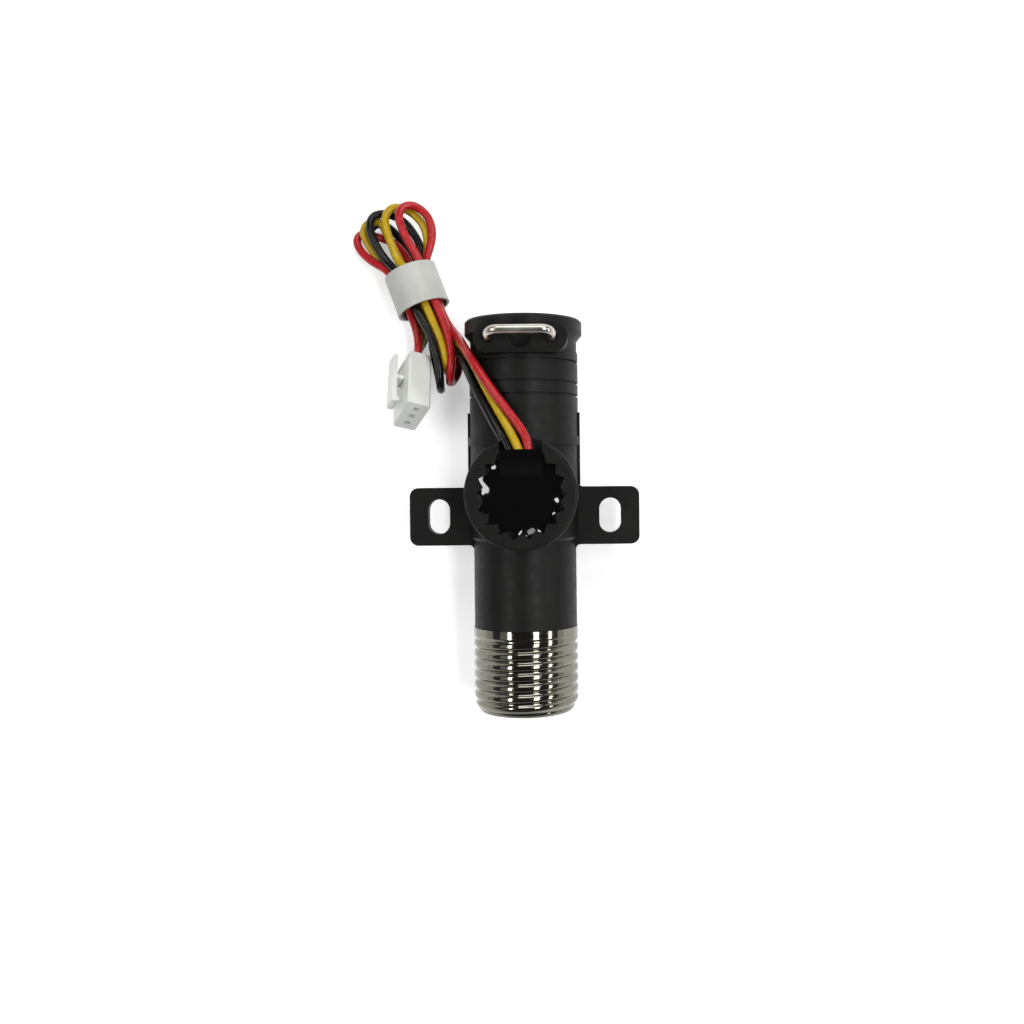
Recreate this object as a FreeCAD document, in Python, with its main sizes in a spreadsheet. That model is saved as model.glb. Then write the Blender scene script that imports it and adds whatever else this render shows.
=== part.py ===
# Turbine water flow sensor: a moulded flow tube with a plated threaded inlet, a sensor
# port, two fixing ears, a clipped outlet socket and a tied three wire harness.
# Frame: +Y runs along the flow axis towards the outlet, +Z out of the sensor port.
# The origin is on the flow axis, at the centre of the inlet end face. Millimetres.
import FreeCAD
import Part
import Sketcher
import math
import os

Vector = FreeCAD.Vector

# Each row is an alias, its number and what it measures.
SIZES = [
    ("thread_radius", 10.4775, "outside radius of the inlet thread"),
    ("thread_length", 16.75, "bare length of the inlet thread"),
    ("thread_lead", 2.4, "length of the tapered start of the thread"),
    ("thread_lead_drop", 1.15, "radial drop of the tapered start"),
    ("thread_pitch", 2.05, "spacing of the thread's grooves"),
    ("thread_groove", 1.15, "width of a thread groove at the crests"),
    ("thread_depth", 0.75, "depth of the thread's grooves"),
    ("thread_first", 2.7, "middle of the first groove, from the inlet face"),
    ("thread_plain", 3.1, "plain stretch between the thread and the tube"),
    ("inlet_bore_radius", 6.4, "water way through the inlet"),
    ("inlet_bore_chamfer", 0.6, "edge break of the inlet water way"),
    ("spigot_radius", 8.8, "moulded in end of the threaded inlet"),
    ("spigot_length", 7.75, "length of the moulded in end"),
    ("key_depth", 0.6, "depth of the groove that locks the inlet in the moulding"),
    ("key_width", 1.2, "width of the locking groove"),
    ("key_setback", 0.9, "distance of the locking groove from the inner end"),
    ("seal_section_radius", 0.6, "section radius of the inlet seal ring"),
    ("seal_setback", 3.75, "distance of the seal ring from the thread"),
    ("lower_tube_radius", 10.3, "outside of the tube below the ears"),
    ("upper_tube_radius", 10.9, "outside of the tube above the ears"),
    ("tube_step_place", 9.35, "step where the tube widens, before the port centre"),
    ("tube_step_length", 0.6, "length of the taper where the tube widens"),
    ("ledge_radius", 11.2, "outside of the ledge above the port"),
    ("ledge_place", 9.55, "start of the ledge, beyond the port centre"),
    ("ledge_width", 1.7, "width of the ledge"),
    ("neck_radius", 10.7, "outside of the neck under the collar"),
    ("neck_place", 6.6, "lower end of the neck, before the outlet face"),
    ("neck_length", 2.4, "length of the neck"),
    ("collar_radius", 11.8, "outside of the outlet collar"),
    ("collar_taper", 1.3, "length of the taper under the collar"),
    ("collar_chamfer", 0.45, "edge break of the collar"),
    ("overall_length", 78.0, "inlet face to outlet face"),
    ("band_groove_width", 0.5, "width of the band grooves"),
    ("band_groove_depth", 0.6, "depth of the band grooves"),
    ("band_groove_first", 15.3, "first band groove, before the outlet face"),
    ("band_groove_second", 12.8, "second band groove, before the outlet face"),
    ("band_groove_third", 8.6, "third band groove, before the outlet face"),
    ("side_rib_rise", 0.35, "height of the side ribs on the tube"),
    ("side_rib_width", 3.0, "width of the side ribs"),
    ("side_rib_start", 1.65, "lower end of the side ribs, beyond the port centre"),
    ("side_rib_end", 16.15, "upper end of the side ribs, beyond the port centre"),
    ("guide_seat", 2.5, "shoulder under the flow guide, beyond the inlet's inner end"),
    ("chamber_radius", 7.0, "bore round the rotor"),
    ("spider_seat", 15.1, "shoulder under the rear spider, beyond the flow guide"),
    ("spider_bore_radius", 7.4, "bore round the rear spider"),
    ("socket_start", 5.9, "outlet socket, beyond the snap ring's groove"),
    ("socket_radius", 7.6, "sealing bore of the outlet socket"),
    ("mouth_start", 7.8, "wide mouth, before the outlet face"),
    ("mouth_radius", 8.2, "bore of the wide mouth"),
    ("mouth_chamfer", 0.7, "lead in of the mouth"),
    ("snap_groove_depth", 0.5, "depth of the snap ring groove"),
    ("snap_thickness", 1.0, "thickness of the snap ring"),
    ("snap_width", 1.3, "radial width of the snap ring"),
    ("snap_gap", 4.0, "opening between the snap ring's ends"),
    ("slip", 0.05, "gap round a piece that is slid into place"),
    ("port_place", 4.15, "port centre, before the rear spider's shoulder"),
    ("port_radius", 10.8, "outside of the port ring"),
    ("port_height", 15.0, "flow axis to the port face"),
    ("port_edge", 0.7, "rounding of the port ring"),
    ("well_radius", 7.5, "inside of the port ring at the tooth tips"),
    ("well_floor", 1.7, "floor of the well, above the chamber"),
    ("notch_depth", 1.25, "radial depth of the notches in the port ring"),
    ("notch_height", 3.0, "depth of the notches below the port face"),
    ("notch_count", 18, "notches round the port ring"),
    ("notch_share", 0.92, "part of the notch pitch that is open at the tips"),
    ("lead_slot_width", 8.2, "opening in the port ring for the wires"),
    ("lead_slot_depth", 3.0, "depth of that opening below the port face"),
    ("ear_reach", 23.05, "flow axis to the end of an ear"),
    ("ear_width", 11.6, "width of the ears along the flow axis"),
    ("ear_place", 4.55, "middle of the ears, before the port centre"),
    ("ear_thickness", 3.0, "thickness of the ears"),
    ("ear_corner", 1.75, "corner radius of the ears"),
    ("ear_flare", 1.0, "fillet where an ear meets the tube"),
    ("ear_slot_place", 17.2, "flow axis to the middle of an ear slot"),
    ("ear_slot_width", 4.4, "width of the ear slots"),
    ("ear_slot_length", 7.0, "length of the ear slots along the flow axis"),
    ("pad_half_width", 9.0, "half width of the clip pad"),
    ("pad_start", 7.7, "lower edge of the clip pad, before the outlet face"),
    ("pad_end", 2.0, "upper edge of the clip pad, before the outlet face"),
    ("pad_height", 12.5, "flow axis to the clip pad's face"),
    ("window_radius", 2.1, "window between the clip's legs"),
    ("rest_height", 0.9, "flat on the back, above the lowest line of the collar"),
    ("clip_wire_radius", 0.9, "radius of the clip's wire"),
    ("clip_leg_place", 6.05, "flow plane to the middle of a clip leg"),
    ("clip_place", 4.75, "legs of the clip, before the outlet face"),
    ("clip_crank", 0.95, "set back of the clip's bow towards the outlet"),
    ("clip_crank_rise", 2.3, "rise of the crank"),
    ("clip_stand_off", 1.1, "straight leg above the clip pad"),
    ("clip_leg_depth", 8.3, "reach of the legs behind the flow axis"),
    ("clip_bend", 1.9, "bend radius of the clip"),
    ("clip_clearance", 0.15, "gap round the clip's legs"),
    ("guide_length", 5.4, "length of the flow guide"),
    ("guide_wall", 0.8, "wall of the flow guide's ring"),
    ("guide_hub_radius", 2.6, "hub of the flow guide"),
    ("guide_nose", 1.6, "length of the guide hub's nose"),
    ("guide_nose_radius", 1.3, "tip of the guide hub's nose"),
    ("vane_thickness", 0.8, "thickness of the guide vanes"),
    ("vane_twist", 34.0, "twist of the guide vanes"),
    ("vane_count", 5, "vanes in the flow guide"),
    ("shaft_radius", 0.75, "rotor shaft"),
    ("shaft_chamfer", 0.2, "edge break of the shaft's ends"),
    ("shaft_play", 0.05, "running gap between the shaft and its bushes"),
    ("shaft_end_play", 0.3, "gap past each end of the shaft"),
    ("bush_radius", 1.55, "outside of the bushes"),
    ("bush_length", 2.3, "length of the bushes"),
    ("rotor_end_gap", 0.6, "gap between the rotor and each hub"),
    ("rotor_hub_radius", 2.9, "hub of the rotor"),
    ("rotor_nose", 1.2, "length of the taper of the rotor's nose"),
    ("blade_tip_gap", 0.4, "gap between the blades and the bore"),
    ("blade_thickness", 0.9, "thickness of the blades"),
    ("blade_twist", -42.0, "twist of the blades"),
    ("blade_count", 6, "blades on the rotor"),
    ("blade_start", 0.5, "blades behind the rotor's front end"),
    ("blade_length", 6.2, "length of the blades"),
    ("magnet_radius", 5.5, "outside of the magnet ring"),
    ("magnet_bore", 3.2, "bore of the magnet ring"),
    ("magnet_length", 5.0, "length of the magnet ring"),
    ("magnet_lip", 0.3, "rise of the lips that hold the magnet"),
    ("magnet_lip_length", 1.6, "length of the lip behind the magnet"),
    ("magnet_flange", 0.5, "thickness of the flange before the magnet"),
    ("spider_length", 3.0, "length of the rear spider"),
    ("spider_wall", 0.9, "wall of the rear spider's ring"),
    ("spider_hub_radius", 2.6, "hub of the rear spider"),
    ("spider_arm", 1.1, "thickness of the rear spider's arms"),
    ("spider_arms", 4, "arms of the rear spider"),
    ("hub_end_wall", 0.5, "wall that closes a bush pocket"),
    ("chip_width", 4.1, "sensor chip across the flow"),
    ("chip_length", 3.0, "sensor chip along the flow"),
    ("chip_height", 1.0, "thickness of the sensor chip"),
    ("board_side", 9.8, "side of the square circuit board"),
    ("board_thickness", 0.8, "thickness of the circuit board"),
    ("board_corner", 0.8, "corner radius of the circuit board"),
    ("capacitor_length", 2.0, "length of the board's small parts"),
    ("capacitor_width", 1.25, "width of the board's small parts"),
    ("capacitor_height", 0.7, "height of the board's small parts"),
    ("capacitor_place", 2.6, "small parts off the middle of the board"),
    ("potting_level", 3.0, "face of the potting, below the port face"),
    ("potting_rise", 0.6, "rise of the potting at the wall of the well"),
    ("potting_rise_width", 1.0, "width of the potting's raised edge"),
    ("tongue_reach", 8.45, "port centre to the end of the potting tongue"),
    ("tongue_height", 2.2, "height of the tongue over the slot floor"),
    ("wire_radius", 0.85, "outside radius of one wire"),
    ("sleeve_radius", 5.5, "outside of the tie sleeve"),
    ("sleeve_wall", 0.5, "wall of the tie sleeve"),
    ("sleeve_length", 8.5, "length of the tie sleeve"),
    ("plug_thickness", 4.75, "plug across its broad faces"),
    ("plug_width", 9.0, "plug along its row of contacts"),
    ("plug_length", 13.0, "plug from its wire end to its mating face"),
    ("plug_edge", 0.35, "edge break of the plug"),
    ("plug_rim", 1.0, "rim at the plug's wire end"),
    ("plug_line", 0.3, "width and depth of the line under the plug's rim"),
    ("contact_pitch", 2.5, "spacing of the contacts"),
    ("cavity_side", 1.9, "side of a contact cavity"),
    ("contact_side", 1.6, "side of a contact"),
    ("contact_hole", 1.1, "side of a hole in the mating face"),
    ("mating_wall", 0.9, "wall at the mating face"),
    ("contact_length", 5.5, "length of a contact's box"),
    ("wire_entry", 1.5, "depth of the wire's end in the plug"),
    ("latch_gap", 1.5, "gap between the plug and its latch"),
    ("latch_thickness", 0.9, "thickness of the latch"),
    ("latch_width", 3.2, "width of the latch"),
    ("latch_start", 0.5, "reach of the latch past the plug's wire end"),
    ("latch_end", 11.3, "hooked end of the latch along the plug"),
    ("latch_pivot", 5.0, "pivot of the latch along the plug"),
    ("latch_bead", 0.45, "radius of the bead that the latch rocks on"),
    ("latch_bead_gap", 0.05, "gap under the bead"),
    ("latch_web", 0.72, "thickness of the latch's web"),
    ("latch_hook", 0.7, "reach of the latch's hook"),
]

document = FreeCAD.newDocument("flow_sensor")
sheet = document.addObject("Spreadsheet::Sheet", "sizes")


class Size:
    """A length or angle: its number, and the sheet expression that gives it."""

    def __init__(self, value, text):
        self.value = value
        self.text = text

    def __add__(self, other):
        other = as_size(other)
        return Size(self.value + other.value, f"({self.text} + {other.text})")

    def __radd__(self, other):
        return as_size(other) + self

    def __sub__(self, other):
        other = as_size(other)
        return Size(self.value - other.value, f"({self.text} - {other.text})")

    def __rsub__(self, other):
        return as_size(other) - self

    def __mul__(self, other):
        other = as_size(other)
        return Size(self.value * other.value, f"({self.text} * {other.text})")

    def __rmul__(self, other):
        return as_size(other) * self

    def __truediv__(self, other):
        other = as_size(other)
        return Size(self.value / other.value, f"({self.text} / {other.text})")

    def __neg__(self):
        return as_size(0) - self


def as_size(number):
    if isinstance(number, Size):
        return number
    return Size(float(number), repr(number))


class Sheet:
    """The driving sizes, each as an attribute."""


sizes = Sheet()
for row, (alias, number, note) in enumerate(SIZES, start=1):
    sheet.set(f"A{row}", note)
    sheet.set(f"B{row}", str(number))
    sheet.setAlias(f"B{row}", alias)
    setattr(sizes, alias, Size(float(number), f"sizes.{alias}"))
document.recompute()


def bind(thing, name, size):
    """Set a property and tie it to the sheet."""
    size = as_size(size)
    thing.setExpression(name, size.text)


def new_body(label):
    body = document.addObject("PartDesign::Body", label)
    body.Label = label
    return body


def new_sketch(body, plane, place=(0, 0, 0), turn=0):
    """An empty sketch on one of the body's own planes, moved and turned in that plane's axes."""
    sketch = body.newObject("Sketcher::SketchObject", f"{body.Name}_sketch")
    roles = {feature.Role: feature for feature in body.Origin.OriginFeatures}
    sketch.AttachmentSupport = (roles[f"{plane}_Plane"], "")
    sketch.MapMode = "FlatFace"
    for axis, offset in zip("xyz", place):
        bind(sketch, f"AttachmentOffset.Base.{axis}", offset)
    turn = as_size(turn)
    if turn.value:
        sketch.AttachmentOffset.Rotation = FreeCAD.Rotation(Vector(0, 0, 1), turn.value)
        bind(sketch, "AttachmentOffset.Rotation.Angle", turn)
    document.recompute()
    return sketch


def hold(sketch, kind, *where_and_size):
    """Add one dimension to a sketch and tie it to the sheet."""
    *where, size = where_and_size
    size = as_size(size)
    index = sketch.addConstraint(Sketcher.Constraint(kind, *where, size.value))
    if "sizes." in size.text:
        sketch.setExpression(f"Constraints[{index}]", size.text)


def hold_point(sketch, geometry, end, x, y):
    """Fix a point of a sketch by its two coordinates."""
    for kind, axis, coordinate in (("DistanceX", -2, as_size(x)), ("DistanceY", -1, as_size(y))):
        if coordinate.text == "0":
            sketch.addConstraint(Sketcher.Constraint("PointOnObject", geometry, end, axis))
        else:
            hold(sketch, kind, -1, 1, geometry, end, coordinate)


def flat_point(x, y):
    return Vector(as_size(x).value, as_size(y).value, 0)


def polygon(sketch, corners):
    """A closed outline of straight lines through the corners."""
    first = sketch.GeometryCount
    count = len(corners)
    for index, corner in enumerate(corners):
        following = corners[(index + 1) % count]
        line = Part.LineSegment(flat_point(*corner), flat_point(*following))
        sketch.addGeometry(line, False)
    for index in range(count):
        after = first + (index + 1) % count
        sketch.addConstraint(Sketcher.Constraint("Coincident", first + index, 2, after, 1))
    for index, corner in enumerate(corners):
        hold_point(sketch, first + index, 1, *corner)


def rectangle(sketch, low, high):
    polygon(sketch, [low, (high[0], low[1]), high, (low[0], high[1])])


def circle(sketch, centre, radius):
    radius = as_size(radius)
    index = sketch.addGeometry(Part.Circle(flat_point(*centre), Vector(0, 0, 1), radius.value))
    hold_point(sketch, index, 3, *centre)
    hold(sketch, "Radius", index, radius)


def slot_outline(sketch, centre, half_straight, radius, upright):
    """An outline of two half circles joined by straight sides."""
    along = (0, half_straight) if upright else (half_straight, 0)
    ends = [
        (centre[0] + along[0], centre[1] + along[1]),
        (centre[0] - along[0], centre[1] - along[1]),
    ]
    start = 0 if upright else -math.pi / 2
    normal = Vector(0, 0, 1)
    arcs = []
    for index, end in enumerate(ends):
        round_end = Part.Circle(flat_point(*end), normal, radius.value)
        first = start + index * math.pi
        arcs.append(sketch.addGeometry(Part.ArcOfCircle(round_end, first, first + math.pi)))
    for index, end in enumerate(ends):
        this, other = arcs[index], arcs[1 - index]
        from_point = sketch.getPoint(this, 2)
        to_point = sketch.getPoint(other, 1)
        side = sketch.addGeometry(Part.LineSegment(from_point, to_point))
        sketch.addConstraint(Sketcher.Constraint("Tangent", this, 2, side, 1))
        sketch.addConstraint(Sketcher.Constraint("Tangent", side, 2, other, 1))
    sketch.addConstraint(Sketcher.Constraint("Equal", arcs[0], arcs[1]))
    hold_point(sketch, arcs[0], 3, *ends[0])
    hold_point(sketch, arcs[1], 3, *ends[1])
    hold(sketch, "Radius", arcs[0], radius)


def feature(body, kind, sketch, **properties):
    """Add a sketch based feature and make it the body's tip."""
    made = body.newObject(f"PartDesign::{kind}", f"{body.Name}_{kind.lower()}")
    made.Profile = sketch
    for name, setting in properties.items():
        if isinstance(setting, Size):
            bind(made, name, setting)
        else:
            setattr(made, name, setting)
    document.recompute()
    body.Tip = made
    return made


def turned(body, corners, kind="Revolution"):
    """Turn a closed outline of (radius, place along the flow) corners about the flow axis."""
    sketch = new_sketch(body, "XY")
    polygon(sketch, corners)
    return feature(body, kind, sketch, ReferenceAxis=(sketch, ["V_Axis"]), Angle=360.0)


def pad(body, sketch, length, **properties):
    return feature(body, "Pad", sketch, Length=as_size(length), **properties)


def cut(body, sketch, depth=None, **properties):
    """A pocket, through everything where no depth is given, that has to remove material."""
    before = body.Shape.Volume
    if depth is None:
        made = feature(body, "Pocket", sketch, Type="ThroughAll", Midplane=True, **properties)
    else:
        made = feature(body, "Pocket", sketch, Length=depth, **properties)
    if body.Shape.Volume > before - 1e-6:
        raise RuntimeError(f"{body.Label}: {made.Name} removes nothing")
    return made


def ring_pattern(body, original, axis, count):
    """Copies of a feature, evenly spaced round an axis."""
    pattern = body.newObject("PartDesign::PolarPattern", f"{body.Name}_pattern")
    pattern.Originals = [original]
    pattern.Axis = axis
    pattern.Angle = 360.0
    bind(pattern, "Occurrences", count)
    body.Tip = pattern
    document.recompute()
    return pattern


def twisted_blade(body, root, tip, thickness, start, end, twist):
    """One blade: a radial bar that turns about the flow axis as it runs along it."""
    ends = []
    for place, turn in ((start, 0), (end, twist)):
        sketch = new_sketch(body, "XZ", (0, 0, -place), turn)
        rectangle(sketch, (root, -thickness / 2), (tip, thickness / 2))
        ends.append(sketch)
    made = feature(body, "AdditiveLoft", ends[0], Sections=[ends[1]], Ruled=True)
    return made, ends[0]


def edge_names(shape, wanted):
    """Names of the edges of a shape that a test picks."""
    return [f"Edge{index}" for index, edge in enumerate(shape.Edges, 1) if wanted(edge)]


def smooth_edges(body, kind, size, wanted):
    """Round or chamfer the picked edges of a body."""
    base = body.Tip
    made = body.newObject(f"PartDesign::{kind}", f"{body.Name}_{kind.lower()}")
    made.Base = (base, edge_names(base.Shape, wanted))
    bind(made, "Radius" if kind == "Fillet" else "Size", size)
    document.recompute()
    body.Tip = made


def is_circle(edge, radius, height):
    """A full circle of this radius, whose plane is at this height."""
    curve = edge.Curve
    same_size = isinstance(curve, Part.Circle) and abs(curve.Radius - radius.value) < 1e-4
    return same_size and abs(curve.Center.z - height.value) < 1e-4


# Share of the shorter run that an arc takes up at each of a wire's way points
ARC_SHARE = 0.45


def rounded_path(points, bend=None):
    """Straight runs through the points, joined by tangent arcs. The radii come back too."""
    edges, radii = [], []
    start = points[0]
    for before, corner, after in zip(points, points[1:], points[2:]):
        back = (before - corner).normalize()
        ahead = (after - corner).normalize()
        half_turn = (math.pi - back.getAngle(ahead)) / 2
        shorter = min((before - corner).Length, (after - corner).Length)
        radius = bend or ARC_SHARE * shorter / math.tan(half_turn)
        reach = radius * math.tan(half_turn)
        inward = (back + ahead).normalize()
        middle = corner + inward * (radius / math.cos(half_turn) - radius)
        arc_start, arc_end = corner + back * reach, corner + ahead * reach
        edges.append(Part.LineSegment(start, arc_start).toShape())
        edges.append(Part.Arc(arc_start, middle, arc_end).toShape())
        radii.append(radius)
        start = arc_end
    edges.append(Part.LineSegment(start, points[-1]).toShape())
    return Part.Wire(edges), radii


def round_bar(label, points, radius, bend=None):
    """A solid round bar along a rounded path, as a piece of its own."""
    path, radii = rounded_path(points, bend)
    section = Part.Wire(Part.makeCircle(radius, points[0], points[1] - points[0]))
    shape = path.makePipeShell([section], True, False)
    expected = math.pi * radius**2 * path.Length
    if abs(shape.Volume - expected) > 0.01 * expected:
        raise RuntimeError(f"{label}: swept volume {shape.Volume} is not {expected}")
    piece = document.addObject("Part::Feature", label)
    piece.Label = label
    piece.Shape = shape
    piece.Placement = FreeCAD.Placement()
    print(label, "length", round(path.Length, 1), "radii", [round(r, 1) for r in radii])
    return piece


# Places that several pieces share, in order along the flow
insert_end = sizes.thread_length + sizes.spigot_length
key_end = insert_end - sizes.key_setback
key_start = key_end - sizes.key_width
key_radius = sizes.spigot_radius - sizes.key_depth
guide_seat = insert_end + sizes.guide_seat
guide_end = guide_seat + sizes.guide_length
spider_seat = guide_end + sizes.spider_seat
spider_end = spider_seat + sizes.spider_length
snap_end = spider_end + sizes.snap_thickness + 2 * sizes.slip
rotor_start = guide_end + sizes.rotor_end_gap
rotor_end = spider_seat - sizes.rotor_end_gap
magnet_start = rotor_end - sizes.magnet_lip_length - sizes.magnet_length
magnet_end = rotor_end - sizes.magnet_lip_length

# The ears, the step and the ledge go with the port
port_place = spider_seat - sizes.port_place
port_centre = (0, port_place)
ear_place = port_place - sizes.ear_place
ledge_start = port_place + sizes.ledge_place
slot_floor = sizes.port_height - sizes.lead_slot_depth
potting_level = sizes.port_height - sizes.potting_level
well_floor = sizes.chamber_radius + sizes.well_floor
board_base = well_floor + sizes.chip_height
board_top = board_base + sizes.board_thickness

# The outlet end is laid out back from the outlet face
neck_start = sizes.overall_length - sizes.neck_place
neck_end = neck_start + sizes.neck_length
collar_start = neck_end + sizes.collar_taper
mouth_start = sizes.overall_length - sizes.mouth_start
pad_start = sizes.overall_length - sizes.pad_start
pad_end = sizes.overall_length - sizes.pad_end
clip_place = sizes.overall_length - sizes.clip_place


def make_sensor_body():
    """The moulded flow tube with its port ring, ears, clip pad and bores."""
    body = new_body("sensor_body")
    step_start = port_place - sizes.tube_step_place
    step_end = step_start + sizes.tube_step_length
    ledge_end = ledge_start + sizes.ledge_width
    turned(body, [
        (0, sizes.thread_length),
        (sizes.lower_tube_radius, sizes.thread_length),
        (sizes.lower_tube_radius, step_start),
        (sizes.upper_tube_radius, step_end),
        (sizes.upper_tube_radius, ledge_start),
        (sizes.ledge_radius, ledge_start),
        (sizes.ledge_radius, ledge_end),
        (sizes.upper_tube_radius, ledge_end),
        (sizes.upper_tube_radius, neck_start),
        (sizes.neck_radius, neck_start),
        (sizes.neck_radius, neck_end),
        (sizes.collar_radius, collar_start),
        (sizes.collar_radius, sizes.overall_length - sizes.collar_chamfer),
        (sizes.collar_radius - sizes.collar_chamfer, sizes.overall_length),
        (0, sizes.overall_length),
    ])
    add_ears(body)
    ribs = new_sketch(body, "XY")
    rib_reach = sizes.upper_tube_radius + sizes.side_rib_rise
    rib_start = port_place + sizes.side_rib_start
    rib_end = port_place + sizes.side_rib_end
    rectangle(ribs, (-rib_reach, rib_start), (rib_reach, rib_end))
    pad(body, ribs, sizes.side_rib_width, Midplane=True)
    ring = new_sketch(body, "XY")
    circle(ring, port_centre, sizes.port_radius)
    pad(body, ring, sizes.port_height)
    smooth_edges(body, "Fillet", sizes.port_edge,
                 lambda edge: is_circle(edge, sizes.port_radius, sizes.port_height))
    clip_pad = new_sketch(body, "XY")
    pad_radius = (pad_end - pad_start) / 2
    pad_centre = (0, (pad_end + pad_start) / 2)
    slot_outline(clip_pad, pad_centre, sizes.pad_half_width - pad_radius, pad_radius, False)
    pad(body, clip_pad, sizes.pad_height)
    cut_bores(body)
    cut_port(body)
    cut_clip_holes(body)
    cut_band_grooves(body)
    return body


def add_ears(body):
    """Two flat slotted ears, one each side of the tube."""
    half = sizes.ear_width / 2
    low, high = ear_place - half, ear_place + half
    plate = new_sketch(body, "XY")
    rectangle(plate, (-sizes.ear_reach, low), (sizes.ear_reach, high))
    pad(body, plate, sizes.ear_thickness, Midplane=True)

    def is_ear_corner(edge):
        place = edge.CenterOfMass
        upright = abs(edge.tangentAt(edge.FirstParameter).z) > 0.999
        return upright and abs(abs(place.x) - sizes.ear_reach.value) < 1e-4

    def is_ear_root(edge):
        place = edge.CenterOfMass
        across = abs(edge.tangentAt(edge.FirstParameter).z) > 0.9
        on_side = min(abs(place.y - low.value), abs(place.y - high.value)) < 1e-4
        return across and on_side and abs(place.x) < sizes.ear_slot_place.value

    smooth_edges(body, "Fillet", sizes.ear_corner, is_ear_corner)
    smooth_edges(body, "Fillet", sizes.ear_flare, is_ear_root)
    slots = new_sketch(body, "XY")
    radius = sizes.ear_slot_width / 2
    for side in (-1, 1):
        centre = (side * sizes.ear_slot_place, ear_place)
        slot_outline(slots, centre, sizes.ear_slot_length / 2 - radius, radius, True)
    cut(body, slots)


def cut_bores(body):
    """The water way, from the inlet's seat to the mouth of the outlet socket."""
    socket_start = snap_end + sizes.socket_start
    snap_groove = sizes.spider_bore_radius + sizes.snap_groove_depth
    turned(body, [
        (0, sizes.thread_length),
        (sizes.spigot_radius, sizes.thread_length),
        (sizes.spigot_radius, key_start),
        (key_radius, key_start),
        (key_radius, key_end),
        (sizes.spigot_radius, key_end),
        (sizes.spigot_radius, insert_end),
        (sizes.inlet_bore_radius, insert_end),
        (sizes.inlet_bore_radius, guide_seat),
        (sizes.chamber_radius, guide_seat),
        (sizes.chamber_radius, spider_seat),
        (sizes.spider_bore_radius, spider_seat),
        (sizes.spider_bore_radius, spider_end),
        (snap_groove, spider_end),
        (snap_groove, snap_end),
        (sizes.spider_bore_radius, snap_end),
        (sizes.spider_bore_radius, socket_start),
        (sizes.socket_radius, socket_start),
        (sizes.socket_radius, mouth_start),
        (sizes.mouth_radius, mouth_start),
        (sizes.mouth_radius, sizes.overall_length - sizes.mouth_chamfer),
        (sizes.mouth_radius + sizes.mouth_chamfer, sizes.overall_length),
        (0, sizes.overall_length),
    ], "Groove")


def cut_port(body):
    """The well for the circuit board, with its toothed wall and the way out for the wires."""
    face = (0, port_place, sizes.port_height)
    well = new_sketch(body, "XY", face)
    circle(well, (0, 0), sizes.well_radius)
    cut(body, well, sizes.port_height - well_floor)
    notch = new_sketch(body, "XY", face)
    root = sizes.well_radius + sizes.notch_depth
    half_open = math.pi * sizes.notch_share * sizes.well_radius / sizes.notch_count
    inner = sizes.well_radius - sizes.notch_depth / 2
    inner_half = half_open * (root - inner) / sizes.notch_depth
    polygon(notch, [(inner, -inner_half), (root, 0), (inner, inner_half)])
    first_notch = cut(body, notch, sizes.notch_height)
    ring_pattern(body, first_notch, (notch, ["N_Axis"]), sizes.notch_count)
    slot = new_sketch(body, "XY", face)
    half = sizes.lead_slot_width / 2
    rectangle(slot, (-half, 0), (half, sizes.port_radius + sizes.port_edge))
    cut(body, slot, sizes.lead_slot_depth)


def cut_clip_holes(body):
    """Leg holes and the window in the clip pad, and the flat on the collar's back."""
    legs = new_sketch(body, "XY")
    for side in (-1, 1):
        leg_centre = (side * sizes.clip_leg_place, clip_place)
        circle(legs, leg_centre, sizes.clip_wire_radius + sizes.clip_clearance)
    cut(body, legs)
    window = new_sketch(body, "XY", (0, 0, sizes.pad_height))
    circle(window, (0, clip_place), sizes.window_radius)
    cut(body, window, sizes.pad_height - sizes.mouth_radius / 2)
    flat = new_sketch(body, "XY", (0, 0, sizes.rest_height - sizes.collar_radius))
    rectangle(flat, (-sizes.collar_radius, ledge_start),
              (sizes.collar_radius, sizes.overall_length))
    cut(body, flat, sizes.collar_radius)


def cut_band_grooves(body):
    """Three thin grooves round the upper tube."""
    sketch = new_sketch(body, "XY")
    bottom = sizes.upper_tube_radius - sizes.band_groove_depth
    outside = sizes.upper_tube_radius + sizes.band_groove_depth
    half = sizes.band_groove_width / 2
    for setback in (sizes.band_groove_first, sizes.band_groove_second, sizes.band_groove_third):
        place = sizes.overall_length - setback
        rectangle(sketch, (bottom, place - half), (outside, place + half))
    feature(body, "Groove", sketch, ReferenceAxis=(sketch, ["V_Axis"]), Angle=360.0)


def make_inlet_thread():
    """The plated inlet: a threaded sleeve with an end that is moulded into the tube."""
    body = new_body("inlet_thread")
    seal_bottom = sizes.spigot_radius - 2 * sizes.seal_section_radius
    seal_place = sizes.thread_length + sizes.seal_setback
    turned(body, [
        (sizes.inlet_bore_radius + sizes.inlet_bore_chamfer, 0),
        (sizes.thread_radius - sizes.thread_lead_drop, 0),
        (sizes.thread_radius, sizes.thread_lead),
        (sizes.thread_radius, sizes.thread_length),
        (sizes.spigot_radius, sizes.thread_length),
        (sizes.spigot_radius, seal_place - sizes.seal_section_radius),
        (seal_bottom, seal_place - sizes.seal_section_radius),
        (seal_bottom, seal_place + sizes.seal_section_radius),
        (sizes.spigot_radius, seal_place + sizes.seal_section_radius),
        (sizes.spigot_radius, key_start),
        (key_radius, key_start),
        (key_radius, key_end),
        (sizes.spigot_radius, key_end),
        (sizes.spigot_radius, insert_end),
        (sizes.inlet_bore_radius, insert_end),
        (sizes.inlet_bore_radius, sizes.inlet_bore_chamfer),
    ])
    cut_thread(body)
    return body


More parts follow.
